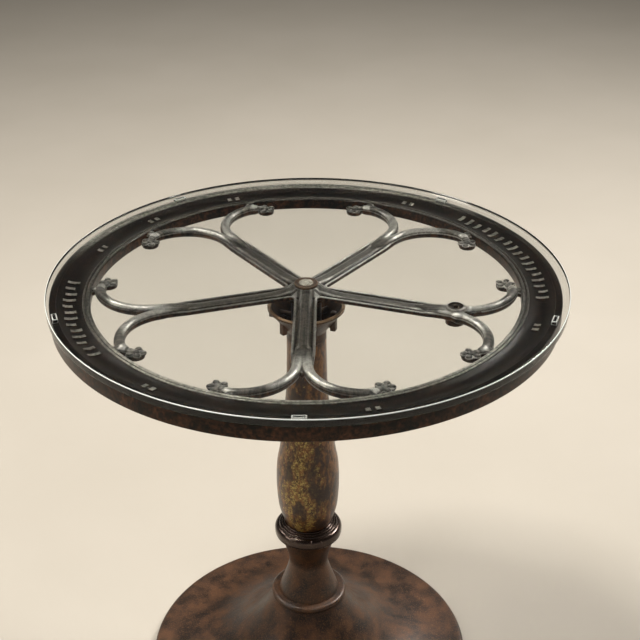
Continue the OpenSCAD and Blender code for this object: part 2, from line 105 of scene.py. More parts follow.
def make_piece(name, bm, materials, slot, *nodes, body="table", sharp=35, wear=None):
    """Makes a piece of a bmesh in millimetres, in place of its CAD nodes. The wear function gives
    each point its share of silver, which is rubbed metal and in places a painted highlight, for the
    material to use."""
    worn = [wear(vert.co) for vert in bm.verts] if wear else []
    bmesh.ops.scale(bm, vec=(MM, MM, MM), verts=bm.verts)
    piece = new_object(name, bm)
    mesh = piece.data
    if wear:
        mesh.attributes.new("wear", "FLOAT", "POINT").data.foreach_set("value", worn)
    mesh.shade_smooth()
    mesh.set_sharp_from_angle(angle=radians(sharp))
    for material in materials:
        mesh.materials.append(material)
    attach(piece, body)
    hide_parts(*nodes)
    return piece


def linear(hex_colour):
    """An sRGB hex colour as a linear one."""
    parts = [int(hex_colour[i:i + 2], 16) / 255 for i in (1, 3, 5)]
    return [p / 12.92 if p <= 0.04045 else ((p + 0.055) / 1.055) ** 2.4 for p in parts] + [1.0]


def add_node(tree, kind, inputs=None, **settings):
    """Adds a node. An input that is given a socket is linked to it, and one that is given a node to
    its first output in use. Any other value is set."""
    made = tree.nodes.new("ShaderNode" + kind)
    for key, value in settings.items():
        setattr(made, key, value)
    for key, value in (inputs or {}).items():
        if isinstance(value, bpy.types.Node):
            value = next(socket for socket in value.outputs if socket.enabled)
        if isinstance(value, bpy.types.NodeSocket):
            tree.links.new(value, made.inputs[key])
        else:
            made.inputs[key].default_value = value
    return made


def new_material(name, surface, *looks, volume=None):
    """A material with the shader that its surface function adds, which is given the function that
    adds a node to it and the place on the object."""
    made = bpy.data.materials.new(name)
    made.use_nodes = True
    made.node_tree.nodes.clear()
    add = partial(add_node, made.node_tree)
    shaders = {"Surface": surface(add, add("TexCoord").outputs["Object"], *looks)}
    if volume:
        shaders["Volume"] = volume(add)
    add("OutputMaterial", shaders)
    return made


# The setting with which a Mix node mixes colours, and its sockets then
RGBA = {"data_type": "RGBA"}
FACTOR, FIRST, SECOND = 0, 6, 7

SMOOTH = {"interpolation_type": "SMOOTHSTEP"}


def brown_iron(add, place):
    """Old cast iron, oiled over its rust: nearly black to warm brown in patches, with a satin skin
    that shows the grain of the sand. Rubbed edges are a dull copper tan."""
    patches = add("TexNoise", {"Vector": place, "Scale": 1 / (35 * MM), "Detail": 5, "Roughness": 0.62})
    grain = add("TexNoise", {"Vector": place, "Scale": 1 / (2.2 * MM), "Detail": 3, "Roughness": 0.6})
    pits = add("TexVoronoi", {"Vector": place, "Scale": 1 / (7 * MM)})
    rusty = add("MapRange", {"Value": patches, "From Min": 0.33, "From Max": 0.7}, **SMOOTH)
    body = add("Mix", {FACTOR: rusty, FIRST: linear("#241b15"), SECOND: linear("#56371f")}, **RGBA)
    specks = add("MapRange", {"Value": grain, "From Min": 0.52, "From Max": 0.7, "To Max": 0.55})
    colour = add("Mix", {FACTOR: specks, FIRST: body, SECOND: linear("#7c5433")}, **RGBA)
    wear = add("Attribute", attribute_name="wear")
    rubbed = add("Mix", {FACTOR: wear.outputs["Fac"], FIRST: colour, SECOND: linear("#aa8a6b")}, **RGBA)
    rough = add("MapRange", {
        "Value": patches, "From Min": 0.3, "From Max": 0.7, "To Min": 0.34, "To Max": 0.58})
    height = add("Math", {0: pits, 1: 0.5, 2: grain}, operation="MULTIPLY_ADD")
    bump = add("Bump", {"Height": height, "Strength": 0.5, "Distance": 0.35 * MM})
    return add("BsdfPrincipled", {
        "Base Color": rubbed, "Metallic": 0.35, "Roughness": rough, "Normal": bump, "Coat Weight": 0.25,
        "Coat Roughness": 0.22})


foot_r, _, foot_h = cad_mm("base_foot")[1]
BORE_R = 11.1
FOOT_WALL = 13
FOOT_NECK_R = 60
FOOT_BEAD = 6
FOOT_ROUND = 6
FOOT_EDGE_H = 22
FOOT_LIP = 2
FOOT_BOSS_R = 29
FOOT_BOSS_Z = 40
SKIRT_STEPS = 40

skirt_top = foot_h - 2 * FOOT_BEAD
skirt_end = foot_r - FOOT_ROUND
skirt = [(FOOT_NECK_R + (skirt_end - FOOT_NECK_R) * t,
          FOOT_EDGE_H + (skirt_top - FOOT_EDGE_H) * (1 - t) ** 3)
         for t in (i / SKIRT_STEPS for i in range(SKIRT_STEPS + 1))]
foot_inner_r = foot_r - FOOT_WALL
foot_inside = [p for p in moved_in(skirt, FOOT_WALL) if p[0] < foot_inner_r - 1]
foot_profile = (
    [(BORE_R, foot_h)]
    + arc(FOOT_NECK_R, foot_h - FOOT_BEAD, FOOT_BEAD, 90, -90)
    + skirt
    + arc(skirt_end, FOOT_EDGE_H - FOOT_ROUND, FOOT_ROUND, 90, 0)
    + arc(foot_r - FOOT_LIP, FOOT_LIP, FOOT_LIP, 0, -90, 4)
    + arc(foot_inner_r + FOOT_LIP, FOOT_LIP, FOOT_LIP, -90, -180, 4)
    + [(foot_inner_r, FOOT_EDGE_H - FOOT_WALL)]
    + foot_inside[::-1]
    + [(FOOT_BOSS_R, foot_inside[0][1]), (FOOT_BOSS_R, FOOT_BOSS_Z), (BORE_R, FOOT_BOSS_Z)])
rusty_iron = new_material("oiled rusty cast iron", brown_iron)
make_piece("foot_casting", turned(foot_profile, 320), [rusty_iron], "brown_iron", "base_foot")


# NUT, WASHER AND BUSHES
# A plain hexagon nut and washer of blackened steel pull the shaft down under the foot's boss.
# Two turned bronze bushes centre the shaft inside the stem and inside the column's neck.


def blackened_steel(add, place):
    """Mild steel, blackened in oil: nearly black with brown clouds, and a soft metal sheen."""
    wear = add("TexNoise", {"Vector": place, "Scale": 1 / (6 * MM), "Detail": 4})
    colour = add("Mix", {FACTOR: wear, FIRST: linear("#1b1613"), SECOND: linear("#5a4638")}, **RGBA)
    bump = add("Bump", {"Height": wear, "Strength": 0.4, "Distance": 0.3 * MM})
    return add("BsdfPrincipled", {
        "Base Color": colour, "Metallic": 0.7, "Roughness": 0.42, "Normal": bump})


def bearing_bronze(add, place):
    """Cast bearing bronze, turned: a dull brown gold that darkens where oil has stood."""
    stain = add("TexNoise", {"Vector": place, "Scale": 1 / (8 * MM), "Detail": 3})
    colour = add("Mix", {FACTOR: stain, FIRST: linear("#5e4322"), SECOND: linear("#a9803f")}, **RGBA)
    return add("BsdfPrincipled", {"Base Color": colour, "Metallic": 1, "Roughness": 0.35})


black_steel = new_material("blackened steel", blackened_steel)
bronze = new_material("bearing bronze", bearing_bronze)
for node, finish in (("foot_nut", black_steel), ("foot_washer", black_steel),
                     ("lower_bush", bronze), ("upper_bush", bronze)):
    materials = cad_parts[node].data.materials
    materials.clear()
    materials.append(finish)


# THE WAISTED STEM
# A hollow turned casting between the foot and the grooved ring, of the same oiled brown iron.
# It stands free on the foot, and the shaft through it holds it down.


def curve(places, top, bottom, steps):
    """A smooth line of radius and height. Its places have a radius and a share of the way down."""
    points = [(r, top - share * (top - bottom)) for r, share in places]
    line = []
    last = len(points) - 1
    for i in range(last):
        a, b, c, d = (Vector(points[min(max(k, 0), last)]) for k in range(i - 1, i + 3))
        for t in (k / steps for k in range(steps)):
            line.append(tuple(b + ((c - a) * t + (2 * a - 5 * b + 4 * c - d) * t * t
                                   + (3 * b - a - 3 * c + d) * t ** 3) / 2))
    return line + [tuple(points[-1])]


stem_low, stem_high = cad_mm("base_stem")
STEM_TOP_R = 45.6
STEM_WAIST_R = 34
STEM_FOOT_R = 52
STEM_BORE_R = 25
STEM_LINE = [(STEM_TOP_R, 0), (STEM_TOP_R - 2, 0.1), (STEM_WAIST_R, 0.42), (STEM_WAIST_R + 3, 0.62),
             (STEM_FOOT_R - 3, 0.92), (STEM_FOOT_R, 1)]

stem_line = curve(STEM_LINE, stem_high.z, stem_low.z, 14)
stem_profile = stem_line + [(STEM_BORE_R, stem_low.z), (STEM_BORE_R, stem_high.z)]
make_piece("stem_casting", turned(stem_profile), [rusty_iron], "brown_iron", "base_stem")


# THE GROOVED RING
# A polished iron ring with three ridges on its sloping upper face, turned bright and gone brown.
# A short spigot on it centres the column's foot.


def polished_iron(add, place):
    """Turned and polished iron, browned by age and wax: dark chocolate with sharp white highlights."""
    cloud = add("TexNoise", {"Vector": place, "Scale": 1 / (18 * MM), "Detail": 5})
    colour = add("Mix", {FACTOR: cloud, FIRST: linear("#2a201c"), SECOND: linear("#57463d")}, **RGBA)
    rough = add("MapRange", {
        "Value": cloud, "From Min": 0.3, "From Max": 0.7, "To Min": 0.16, "To Max": 0.3})
    return add("BsdfPrincipled", {
        "Base Color": colour, "Metallic": 0.75, "Roughness": rough, "Coat Weight": 0.3,
        "Coat Roughness": 0.12})


ring_low, ring_high = cad_mm("grooved_ring")
vase_low, vase_high = cad_mm("column_vase")
SPIGOT_R = 29.3
RING_ROUND = 8
RING_FALL = 6
RIDGES = 3
RING_TOP_R = 38.5
SEAT_GAP = 0.3
SPIGOT_CHAMFER = 1

ring_edge_r = ring_high.x - RING_ROUND
ridge_step = (ring_edge_r - RING_TOP_R) / RIDGES
ring_profile = [(BORE_R, ring_low.z)]
ring_profile += arc(ring_edge_r, ring_low.z + RING_ROUND, RING_ROUND, -90, 0, 10)
ring_profile += arc(ring_edge_r, vase_low.z - RING_FALL - RING_ROUND, RING_ROUND, 0, 84, 10)
for ridge in range(RIDGES):
    part = RIDGES - 0.5 - ridge
    ring_profile += arc(RING_TOP_R + ridge_step * part, vase_low.z - RING_FALL * part / RIDGES,
                        ridge_step / 2, 10, 170, 8)
seat_z = vase_low.z - SEAT_GAP
ring_profile += [(RING_TOP_R, seat_z), (SPIGOT_R, seat_z), (SPIGOT_R, ring_high.z - SPIGOT_CHAMFER),
                 (SPIGOT_R - SPIGOT_CHAMFER, ring_high.z), (BORE_R, ring_high.z)]
browned_iron = new_material("browned polished iron", polished_iron)
make_piece("ridged_ring", turned(ring_profile), [browned_iron], "polished_iron", "grooved_ring")


# THE COLUMN
# A hollow iron casting with a slim neck and a full vase, once gilt. Gold flecks are left, most of
# them in front. It stands on the grooved ring, round its spigot, and the shaft holds it down.


def worn_gilding(add, place):
    """Cast iron under what is left of its gilding: a satin brown with dark and rusty patches and
    crusts of dull gold flecks, which stand a little proud."""
    stretch = add("Mapping", {"Vector": place, "Scale": (1, 1, 0.45)})
    clouds = add("TexNoise", {"Vector": stretch, "Scale": 1 / (26 * MM), "Detail": 6, "Roughness": 0.6})
    streaks = add("TexNoise", {"Vector": stretch, "Scale": 1 / (9 * MM), "Detail": 4, "Roughness": 0.65})
    crust = add("TexNoise", {"Vector": place, "Scale": 1 / (6.5 * MM), "Detail": 7, "Roughness": 0.8})
    fine = add("TexNoise", {"Vector": place, "Scale": 1 / (2.5 * MM), "Detail": 3})
    apart = add("SeparateXYZ", {0: place})

    warm = add("MapRange", {"Value": streaks, "From Min": 0.35, "From Max": 0.68}, **SMOOTH)
    brown = add("Mix", {FACTOR: warm, FIRST: linear("#3c2414"), SECOND: linear("#8e5e30")}, **RGBA)
    dark = add("MapRange", {"Value": clouds, "From Min": 0.5, "From Max": 0.58, "To Max": 0.9}, **SMOOTH)
    stained = add("Mix", {FACTOR: dark, FIRST: brown, SECOND: linear("#33241f")}, **RGBA)

    # The gilding is left mostly on the front of the column, and a little to the left
    reach = 40 * MM
    aside = add("Math", {0: apart.outputs[0], 1: -0.25 / reach}, operation="MULTIPLY")
    ahead = add("Math", {0: apart.outputs[1], 1: -0.97 / reach, 2: aside}, operation="MULTIPLY_ADD")
    kept = add("MapRange", {
        "Value": ahead, "From Min": 0.2, "From Max": 1.1, "To Min": -0.16, "To Max": 0.06})
    amount = add("Math", {0: kept, 1: crust}, operation="ADD")
    flecks = add("MapRange", {"Value": amount, "From Min": 0.53, "From Max": 0.59}, **SMOOTH)
    bare = add("MapRange", {
        "Value": clouds, "From Min": 0.47, "From Max": 0.56, "To Min": 1, "To Max": 0.1}, **SMOOTH)
    gilt = add("Math", {0: flecks, 1: bare}, operation="MULTIPLY")
    shine = add("MapRange", {"Value": fine, "From Min": 0.36, "From Max": 0.66})
    gold = add("Mix", {FACTOR: shine, FIRST: linear("#54401a"), SECOND: linear("#d0b464")}, **RGBA)
    colour = add("Mix", {FACTOR: gilt, FIRST: stained, SECOND: gold}, **RGBA)
    rough = add("MapRange", {"Value": gilt, "To Min": 0.36, "To Max": 0.52})
    bump = add("Bump", {"Height": amount, "Strength": 0.55, "Distance": 0.8 * MM})
    return add("BsdfPrincipled", {
        "Base Color": colour, "Metallic": 0.25, "Roughness": rough, "Normal": bump, "Coat Weight": 0.3,
        "Coat Roughness": 0.2})


NECK_R = 32
VASE_R = 53
COLUMN_WALL = 9
COLUMN_LINE = [(NECK_R, 0), (NECK_R + 0.5, 0.12), (NECK_R + 3, 0.3), (VASE_R - 7.5, 0.55),
               (VASE_R - 1.5, 0.655), (VASE_R, 0.765), (VASE_R - 2.4, 0.88), (VASE_R - 7.4, 0.945),
               (RING_TOP_R, 1)]

column_line = curve(COLUMN_LINE, vase_high.z, vase_low.z, 12)
column_bore = [(r - COLUMN_WALL, z) for r, z in column_line[::-1]]
gilt_iron = new_material("worn gilding on cast iron", worn_gilding)
make_piece("column_casting", turned(column_line + column_bore), [gilt_iron], "gilt_iron", "column_vase")


# THE CUP
# A flared iron cup with a flat lip and three lugs, cast in one and left rough and brown.
# Its spigot stands in the column's neck, and the wheel's boss stands on its floor.

# A casting's skin: the size that its voxels have, and how often it is smoothed
CASTING_VOXEL = 1.0
SMOOTHINGS = 2


def about_z(degrees):
    """A turn about the Z axis."""
    return Matrix.Rotation(radians(degrees), 4, "Z")


def ramp(value, low, high):
    """Rises smoothly from 0 to 1 between two values."""
    t = min(max((value - low) / (high - low), 0), 1)
    return t * t * (3 - 2 * t)


def take_shape(thing):
    """The shape of an object with its modifier on, as a bmesh. The object is removed."""
    bm = bmesh.new()
    bm.from_mesh(thing.evaluated_get(bpy.context.evaluated_depsgraph_get()).data)
    bpy.data.objects.remove(thing)
    return bm


def cast_in_one(shapes):
    """Closed shapes as one skin with soft inner corners, like a casting."""
    pattern = new_object("pattern", shapes)
    skin = pattern.modifiers.new("skin", "REMESH")
    skin.mode = "VOXEL"
    skin.voxel_size = CASTING_VOXEL
    bm = take_shape(pattern)
    for _ in range(SMOOTHINGS):
        bmesh.ops.smooth_vert(bm, verts=bm.verts, factor=0.5, use_axis_x=True, use_axis_y=True,
                              use_axis_z=True)
    return bm


cup_low, cup_high = cad_mm("column_cup")
CUP_R = 61.7
CUP_SPIGOT = 10
CUP_FLOOR_T = 12
CUP_ROOT = 7
CUP_LIP_W = 6
CUP_LIP_H = 4.5
CUP_WALL = 6
CUP_CHAMFER = 1
CONE_STEP = 2.5
NECK_SPIGOT_R = NECK_R - COLUMN_WALL - 0.2
LUG_ANGLES = (100, 220, 340)
LUG_REACH = 50.5
LUG_W = 10
LUG_T = 9

neck_z = cup_low.z + CUP_SPIGOT
cup_floor_z = neck_z + CUP_ROOT + CUP_FLOOR_T
cup_z = cup_high.z
cone_top = (CUP_R - CONE_STEP, cup_z - CUP_LIP_H)
cone_foot = (NECK_R, cup_floor_z - 3)
cup_slope = (cone_top[0] - cone_foot[0]) / (cone_top[1] - cone_foot[1])


def cone_r(z):
    """The radius of the cup's outer wall at a height."""
    return cone_foot[0] + cup_slope * (z - cone_foot[1])


cup_shapes = turned([
    (BORE_R, cup_low.z), (NECK_SPIGOT_R, cup_low.z), (NECK_SPIGOT_R, neck_z), (NECK_R, neck_z),
    (NECK_R, cone_foot[1]), cone_top, (CUP_R, cone_top[1]), (CUP_R, cup_z - CUP_CHAMFER),
    (CUP_R - CUP_CHAMFER, cup_z), (CUP_R - CUP_LIP_W, cup_z), (CUP_R - CUP_LIP_W, cup_z - 3),
    (cone_top[0] - CUP_WALL, cone_top[1] - 2), (cone_r(cup_floor_z) - CUP_WALL, cup_floor_z),
    (BORE_R, cup_floor_z)], 128)
lug_foot_z = cup_floor_z + 2
lug_top_z = cone_top[1] + 1
for angle in LUG_ANGLES:
    bmesh.ops.create_cube(cup_shapes, size=1, matrix=about_z(angle) @ Matrix.LocRotScale(
        (LUG_REACH - LUG_T / 2, 0, (lug_foot_z + lug_top_z) / 2), None,
        (LUG_T, LUG_W, lug_top_z - lug_foot_z)))
cup = cast_in_one(cup_shapes)


def lip_wear(point):
    """The lip's top is rubbed, because everything that falls in the cup is fished out over it."""
    on_lip = ramp(point.xy.length, CUP_R - CUP_LIP_W - 0.5, CUP_R - CUP_LIP_W + 1)
    return 0.8 * on_lip * ramp(point.z, cup_z - 2.6, cup_z - 0.8)


make_piece("cup_casting", cup, [rusty_iron], "brown_iron", "column_cup", wear=lip_wear)


# THE SHAFT AND ITS RING
# One steel shaft runs from the wheel's face down to the nut under the foot. Its sawn end is
# filed bright. A brown iron ring is shrunk on it over the wheel's face.


def bright_steel(add, place):
    """Mild steel, filed bright and handled for years: silver with soft grey clouds and scratches."""
    clouds = add("TexNoise", {"Vector": place, "Scale": 1 / (5 * MM), "Detail": 5, "Roughness": 0.7})
    scratch = add("Mapping", {"Vector": place, "Scale": (1, 0.06, 1), "Rotation": (0, 0, radians(30))})
    lines = add("TexNoise", {"Vector": scratch, "Scale": 1 / (0.9 * MM), "Detail": 2})
    tone = add("MapRange", {"Value": clouds, "From Min": 0.3, "From Max": 0.72})
    colour = add("Mix", {FACTOR: tone, FIRST: linear("#8d887c"), SECOND: linear("#f2efe6")}, **RGBA)
    bump = add("Bump", {"Height": lines, "Strength": 0.35, "Distance": 0.12 * MM})
    return add("BsdfPrincipled", {
        "Base Color": colour, "Metallic": 1, "Roughness": 0.58, "Normal": bump})


shaft_low, shaft_high = cad_mm("centre_shaft")
collar_low, collar_high = cad_mm("shaft_ring")
SHAFT_R = 11
SHAFT_CHAMFER = 1.5
SHAFT_ROUND = 0.7
PUNCH_R = 1.4
COLLAR_ROUND = 1.3
BORE_ROUND = 0.8

shaft_profile = [(0, shaft_low.z), (SHAFT_R - SHAFT_CHAMFER, shaft_low.z),
                 (SHAFT_R, shaft_low.z + SHAFT_CHAMFER)]
shaft_profile += arc(SHAFT_R - SHAFT_ROUND, shaft_high.z - SHAFT_ROUND, SHAFT_ROUND, 0, 90, 5)
shaft_profile += [(PUNCH_R, shaft_high.z), (0, shaft_high.z - PUNCH_R)]
steel = new_material("filed mild steel", bright_steel)
make_piece("steel_shaft", turned(shaft_profile, 128), [steel], "steel", "centre_shaft")

collar_r, _, collar_z = collar_high
collar_profile = [(SHAFT_R, collar_low.z), (collar_r, collar_low.z)]
collar_profile += arc(collar_r - COLLAR_ROUND, collar_z - COLLAR_ROUND, COLLAR_ROUND, 0, 90, 6)
collar_profile += [(collar_r - 2.4, collar_z), (SHAFT_R + 2, collar_z)]
collar_profile += arc(SHAFT_R + BORE_ROUND, collar_z - BORE_ROUND, BORE_ROUND, 90, 180, 4)


def collar_wear(point):
    """The ring's two corners are rubbed."""
    middle = (SHAFT_R + collar_r) / 2
    from_middle = abs(point.xy.length - middle) / (collar_r - middle)
    return 0.35 * ramp(from_middle, 0.55, 0.75) * ramp(point.z, collar_z - 2.2, collar_z - 0.7)


make_piece("shrunk_ring", turned(collar_profile, 160), [rusty_iron], "brown_iron",
           "shaft_ring", wear=collar_wear)


# SET SCREWS
# Three square-headed steel screws through the cup's wall hold the wheel's boss.
# Their heads are forged, with rounded corners, and have gone brown like the cup.


def add_round_bar(bm, foot, top, r_foot, r_top=None, sides=32):
    """A closed bar of round section between two points."""
    foot, top = Vector(foot), Vector(top)
    along = top - foot
    place = Matrix.Translation((foot + top) / 2) @ along.to_track_quat("Z", "Y").to_matrix().to_4x4()
    return bmesh.ops.create_cone(bm, cap_ends=True, segments=sides, radius1=r_foot,
                                 radius2=r_foot if r_top is None else r_top, depth=along.length,
                                 matrix=place)["verts"]


def add_rounded_block(bm, size, radius, segments, edge_material=-1):
    """A block round the origin, whose rounded edges may have their own material."""
    block = bmesh.ops.create_cube(bm, size=1, matrix=Matrix.Diagonal((*size, 1)))["verts"]
    edges = list({e for v in block for e in v.link_edges})
    rounded = bmesh.ops.bevel(bm, geom=edges, offset=radius, segments=segments, profile=0.5,
                              affect="EDGES", material=edge_material)["faces"]
    return list({v for f in rounded for v in f.verts})


screw_low, screw_high = cad_mm("cup_screws")
SCREW_ANGLES = (40, 160, 280)
SCREW_R = 5
SCREW_HEAD = 15
SCREW_HEAD_H = 9
SCREW_HEAD_ROUND = 1.6
HUB_BOSS_R = 24

screw_z = (screw_low.z + screw_high.z) / 2
head_x = cone_r(screw_z + SCREW_HEAD / 2) + 1
screws = bmesh.new()
for angle in SCREW_ANGLES:
    head = add_rounded_block(screws, (SCREW_HEAD_H, SCREW_HEAD, SCREW_HEAD), SCREW_HEAD_ROUND, 4)
    bmesh.ops.translate(screws, vec=(head_x + SCREW_HEAD_H / 2, 0, 0), verts=head)
    bar = add_round_bar(screws, (HUB_BOSS_R, 0, 0), (head_x + 1, 0, 0), SCREW_R)
    bmesh.ops.transform(screws, verts=head + bar,
                        matrix=Matrix.Translation((0, 0, screw_z)) @ about_z(angle))
bmesh.ops.recalc_face_normals(screws, faces=screws.faces)
make_piece("square_screws", screws, [black_steel], "dark_steel", "cup_screws")


# THE WHEEL'S RIM
# The rim is part of the wheel's one iron casting: a flat lip outside, a dished band, and two
# beads round the inside. Its beads are rubbed bright, and a painted highlight makes them brighter in
# front; a painted reflection lights a stretch of the lip at the back. Its dished band is dark with wax.

rim_low, rim_high = cad_mm("wheel_rim")
RIM_W = 62.5
RIM_INNER_H = 15
LIP_W = 11
LIP_CORNER = 1.2
LIP_LOOP = 4
BEAD_DROP = 3.1
BEAD_W = 7.5
SMALL_BEAD_W = 4.5
TROUGH_DEPTH = 4.5
RIM_PLATE_T = 8
RIM_OUTER_WALL = 9
RIM_INNER_WALL = 10
RIM_ROUND = 2
RIM_COVE = 3
TROUGH_STEPS = 16

rim_r, _, lip_z = rim_high
crest_z = lip_z - BEAD_DROP
rim_in_r = rim_r - RIM_W
trough_out = Vector((rim_r - LIP_W, lip_z - LIP_CORNER))
trough_in = Vector((rim_in_r + BEAD_W + SMALL_BEAD_W, crest_z - SMALL_BEAD_W / 2))


def trough(step):
    """A point of radius and height on the dished band, counted in steps from the lip."""
    t = step / TROUGH_STEPS
    return tuple(trough_out + (trough_in - trough_out) * t - Vector((0, TROUGH_DEPTH * sin(pi * t))))


def waxed_iron(add, place, pale, bright, streaky):
    """Old grey cast iron, blackened and waxed: brown-black with paler clouds, rusty on its walls, and
    satin silver where its wear attribute says, which holds real wear and painted highlights. Where it
    is streaky, it was filed outwards from the hub."""
    facing = add("SeparateXYZ", {0: add("TexCoord").outputs["Normal"]})
    wear = add("Attribute", attribute_name="wear")
    patches = add("TexNoise", {"Vector": place, "Scale": 1 / (24 * MM), "Detail": 5, "Roughness": 0.6})
    mottle = add("TexNoise", {"Vector": place, "Scale": 1 / (6 * MM), "Detail": 5, "Roughness": 0.68})
    grain = add("TexNoise", {"Vector": place, "Scale": 1 / (1.7 * MM), "Detail": 2})

    # The angle round the wheel becomes a length, at this radius
    streak_r = 180 * MM
    apart = add("SeparateXYZ", {0: place})
    around = add("Math", {0: apart.outputs[1], 1: apart.outputs[0]}, operation="ARCTAN2")
    across = add("Math", {0: around, 1: streak_r}, operation="MULTIPLY")
    reach = add("VectorMath", {0: place}, operation="LENGTH")
    along = add("Math", {0: reach, 1: 0.06}, operation="MULTIPLY")
    lie = add("CombineXYZ", {0: across, 1: along})
    streaks = add("TexNoise", {"Vector": lie, "Scale": 1 / (3.5 * MM), "Detail": 4, "Roughness": 0.6})
    marked = add("Math", {0: streaks, 1: streaky, 2: mottle}, operation="MULTIPLY_ADD")
    lift = 0.5 * streaky

    tone = add("MapRange", {"Value": marked, "From Min": 0.38 + lift, "From Max": 0.68 + lift})
    black = add("Mix", {FACTOR: tone, FIRST: linear("#090705"), SECOND: linear(pale)}, **RGBA)
    wall = add("MapRange", {
        "Value": facing.outputs[2], "From Min": 0.15, "From Max": 0.65, "To Min": 1, "To Max": 0.15
    }, **SMOOTH)
    stain = add("MapRange", {"Value": patches, "From Min": 0.36, "From Max": 0.62})
    rust = add("Math", {0: wall, 1: stain}, operation="MULTIPLY")
    brown = add("Mix", {FACTOR: tone, FIRST: linear("#24160c"), SECOND: linear("#5e3a24")}, **RGBA)
    skin = add("Mix", {FACTOR: rust, FIRST: black, SECOND: brown}, **RGBA)

    handled = add("MapRange", {
        "Value": marked, "From Min": 0.36 + lift, "From Max": 0.6 + lift, "To Min": 0.35 + lift / 2})
    # The wear attribute brings rubbed metal, and on the rim and arms painted highlights too
    rubbed = add("Math", {0: wear.outputs["Fac"], 1: handled}, operation="MULTIPLY")
    colour = add("Mix", {FACTOR: rubbed, FIRST: skin, SECOND: linear(bright)}, **RGBA)
    rough = add("MapRange", {"Value": rubbed, "To Min": 0.3, "To Max": 0.37})
    height = add("Math", {0: marked, 1: 1.6, 2: grain}, operation="MULTIPLY_ADD")
    bump = add("Bump", {"Height": height, "Strength": 0.45, "Distance": 0.12 * MM})
    return add("BsdfPrincipled", {
        "Base Color": colour, "Metallic": rubbed, "Roughness": rough, "Normal": bump,
        "Specular IOR Level": 0.22})


def rim_wear_and_highlight(point):
    """Hands have rubbed the crests of the two beads. A painted highlight makes them brighter in front
    than behind, and a painted reflection lights one stretch of the lip at the back."""
    reach = point.xy.length
    if reach < trough_in.x + 0.5:
        # Rubbed crests, with a painted highlight that grows toward the front
        used = 0.2 + 0.6 * ramp(-point.y / reach, 0.2, 0.8)
        return used * ramp(point.z, crest_z - 1.8, crest_z - 0.3)
    # The silver stretch of the lip at the back is a painted reflection
    angle = atan2(point.y, point.x) * 180 / pi
    return 0.95 * ramp(angle, 40, 75) * (1 - ramp(angle, 146, 170)) * ramp(point.z, lip_z - 3, lip_z - 1)


# The wall has a loop under the lip, where the painted reflection on the lip ends
plate_z = trough(TROUGH_STEPS / 2)[1] - RIM_PLATE_T
bead_foot_z = crest_z - BEAD_W / 2
round_z = bead_foot_z - RIM_INNER_H + RIM_ROUND
cove_r = rim_r - RIM_OUTER_WALL
rim_profile = (
    arc(rim_r - RIM_ROUND, rim_low.z + RIM_ROUND, RIM_ROUND, -90, 0, 5)
    + [(rim_r, lip_z - LIP_LOOP)]
    + arc(rim_r - LIP_CORNER, lip_z - LIP_CORNER, LIP_CORNER, 0, 90, 6)
    + arc(trough_out.x + LIP_CORNER, lip_z - LIP_CORNER, LIP_CORNER, 90, 180, 4)
    + [trough(step / 2) for step in range(1, 2 * TROUGH_STEPS)]
    + arc(trough_in.x - SMALL_BEAD_W / 2, trough_in.y, SMALL_BEAD_W / 2, 0, 172, 12)
    + arc(rim_in_r + BEAD_W / 2, bead_foot_z, BEAD_W / 2, 20, 180, 16)
    + arc(rim_in_r + RIM_ROUND, round_z, RIM_ROUND, 180, 270, 5)
    + arc(rim_in_r + RIM_INNER_WALL - RIM_ROUND, round_z, RIM_ROUND, 270, 360, 5)
    + arc(rim_in_r + RIM_INNER_WALL + RIM_COVE, plate_z - RIM_COVE, RIM_COVE, 180, 90, 5)
    + arc(cove_r - RIM_COVE, plate_z - RIM_COVE, RIM_COVE, 90, 0, 5)
    + arc(cove_r + RIM_ROUND, rim_low.z + RIM_ROUND, RIM_ROUND, 180, 270, 5))
rim_iron = new_material("black waxed cast iron with painted highlights", waxed_iron, "#191209", "#c6c3b8", 0)
make_piece("rim_casting", turned(rim_profile, 400), [rim_iron], "wheel_iron", "wheel_rim", wear=rim_wear_and_highlight)


# MARKS ON THE RIM
# Plain raised bars, cast with the rim: a group on the left, a group on the right and small pairs
# between them. Hands and cloths have rubbed their tops to silver, and dirt stays round them.

MARK_H = 2
MARK_STEPS = 8
MARK_ANGLE = 1.1
MARK_PITCH = 3.1
MARK_SINK = 1
MARK_ROUND = 1
MARK_GROUPS = ((178, 13), (-5, 17))
PAIR_ANGLES = (62, 112, 137, 158, 235, 285.6, 340)


def add_mark(bm, angle, first, last):
    """One rounded bar across the dished band, between two of its steps."""
    others = set(bm.faces)
    start = about_z(angle - MARK_ANGLE / 2)
    line = [trough(first + (last - first) * i / MARK_STEPS) for i in range(MARK_STEPS + 1)]
    verts = [bm.verts.new(start @ Vector((r, 0, z - MARK_SINK))) for r, z in line]
    edges = [bm.edges.new(pair) for pair in zip(verts, verts[1:])]
    bmesh.ops.spin(bm, geom=verts + edges, axis=(0, 0, 1), angle=radians(MARK_ANGLE), steps=4)
    strip = [f for f in bm.faces if f not in others]
    top = bmesh.ops.extrude_face_region(bm, geom=strip)["geom"]
    top_verts = [v for v in top if isinstance(v, BMVert)]
    top_faces = [f for f in top if isinstance(f, BMFace)]
    bmesh.ops.translate(bm, vec=(0, 0, MARK_H + MARK_SINK), verts=top_verts)
    rim_edges = [e for f in top_faces for e in f.edges if any(g not in top_faces for g in e.link_faces)]
    bmesh.ops.bevel(bm, geom=rim_edges, offset=MARK_ROUND, segments=3, profile=0.5, affect="EDGES",
                    material=-1)


def mark_wear(point):
    """Hands and cloths have rubbed the bars' tops."""
    across = (trough_out.x - point.xy.length) / (trough_out.x - trough_in.x)
    return 0.9 * ramp(point.z - trough(across * TROUGH_STEPS)[1], 0.9, 1.7)


